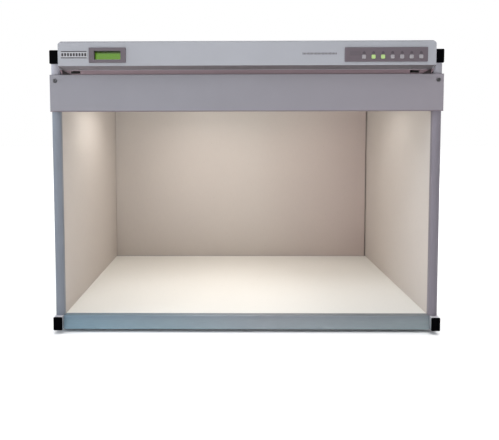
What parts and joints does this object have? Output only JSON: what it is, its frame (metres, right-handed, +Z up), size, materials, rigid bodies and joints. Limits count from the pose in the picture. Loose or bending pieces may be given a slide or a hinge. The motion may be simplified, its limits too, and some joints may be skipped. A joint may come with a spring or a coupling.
{
  "type": "colour assessment light booth",
  "caption": "Free-standing viewing cabinet with switched lamps behind a pelmet, a front control pod with push keys and a display, open at the front.",
  "frame": {"origin": "on the table under the middle of the overall box", "axes": "+Z up, +X across the booth to the viewer's right, -Y out of the open front"},
  "size_m": [0.705, 0.4442, 0.529],
  "materials": {
    "paint_grey": "satin silver-grey stove enamel",
    "alu": "satin anodised",
    "neutral_board": "laminated board, matt neutral light grey lacquer",
    "neutral_paint": "matt white reflector enamel",
    "zinc": "zinc-plated",
    "black_plastic": "matt moulded black",
    "black_rubber": "matt",
    "dark_screw": "blackened",
    "bracket": "matt dark",
    "bezel": "fine-textured dark grey-violet",
    "plate": "printed satin plate",
    "pane": "clear",
    "lcd": "backlit green display cell",
    "key": "translucent pale grey",
    "key_lit": "translucent, lit green from behind",
    "pcb": "solder-resist green",
    "lamp_white": "white phosphor-coated glass",
    "lamp_clear": "clear glass",
    "white_plastic": "moulded white",
    "ceramic": "glazed white",
    "rocker": "gloss black"
  },
  "bodies": {
    "cabinet": {"back_panel": "neutral_board", "ballast_1": "zinc", "ballast_2": "zinc", "ballast_3": "zinc", "bottom_tube_left": "alu", "bottom_tube_right": "alu", "bulb_holders": "ceramic", "bulb_left": "lamp_clear", "bulb_right": "lamp_clear", "control_board": "pcb", "display_bezel": "bezel", "display_module": "lcd", "display_window": "pane", "edge_trim_left": "alu", "edge_trim_right": "alu", "feet": "black_rubber", "floor_panel": "neutral_board", "foot_screws": "zinc", "frame_screws": "zinc", "front_rail": "alu", "front_reflector": "neutral_paint", "gear_tray": "neutral_paint", "key_board": "pcb", "key_panel": "bezel", "lamp_1": "lamp_white", "lamp_2": "lamp_white", "lamp_3": "lamp_white", "lamp_4": "lamp_white", "lamp_5": "lamp_white", "lamp_caps": "zinc", "lamp_holders": "white_plastic", "mains_inlet": "black_plastic", "nameplate": "plate", "pelmet": "paint_grey", "pelmet_screws": "dark_screw", "plug_bottom_left": "black_plastic", "plug_bottom_right": "black_plastic", "plug_top_left": "black_plastic", "plug_top_right": "black_plastic", "pod_bracket_left": "bracket", "pod_bracket_right": "bracket", "pod_shell": "paint_grey", "rear_cover": "paint_grey", "rear_plugs": "black_plastic", "rear_rail": "alu", "rear_screws": "zinc", "rocker_frame": "black_plastic", "side_panel_left": "neutral_board", "side_panel_right": "neutral_board", "top_cover": "paint_grey", "top_tube_left": "alu", "top_tube_right": "alu"},
    "key_1": {"key_1": "key"},
    "key_2": {"key_2": "key_lit"},
    "key_3": {"key_3": "key_lit"},
    "key_4": {"key_4": "key"},
    "key_5": {"key_5": "key"},
    "key_6": {"key_6": "key"},
    "key_7": {"key_7": "key"},
    "power_rocker": {"power_rocker": "rocker"}
  },
  "joints": [
    {"name": "key_1_press", "type": "slide", "parent": "cabinet", "child": "key_1", "axis": [0, 1, 0], "range_m": [0, 0.0008], "stiffness_N_per_m": 900, "springref_m": -0.001},
    {"name": "key_2_press", "type": "slide", "parent": "cabinet", "child": "key_2", "axis": [0, 1, 0], "range_m": [0, 0.0008], "stiffness_N_per_m": 900, "springref_m": -0.001},
    {"name": "key_3_press", "type": "slide", "parent": "cabinet", "child": "key_3", "axis": [0, 1, 0], "range_m": [0, 0.0008], "stiffness_N_per_m": 900, "springref_m": -0.001},
    {"name": "key_4_press", "type": "slide", "parent": "cabinet", "child": "key_4", "axis": [0, 1, 0], "range_m": [0, 0.0008], "stiffness_N_per_m": 900, "springref_m": -0.001},
    {"name": "key_5_press", "type": "slide", "parent": "cabinet", "child": "key_5", "axis": [0, 1, 0], "range_m": [0, 0.0008], "stiffness_N_per_m": 900, "springref_m": -0.001},
    {"name": "key_6_press", "type": "slide", "parent": "cabinet", "child": "key_6", "axis": [0, 1, 0], "range_m": [0, 0.0008], "stiffness_N_per_m": 900, "springref_m": -0.001},
    {"name": "key_7_press", "type": "slide", "parent": "cabinet", "child": "key_7", "axis": [0, 1, 0], "range_m": [0, 0.0008], "stiffness_N_per_m": 900, "springref_m": -0.001},
    {"name": "power_rocker_tilt", "type": "hinge", "parent": "cabinet", "child": "power_rocker", "pos_m": [-0.225, 0.2143, 0.511], "axis": [0, 0, 1], "range_deg": [-24, 0]}
  ]
}
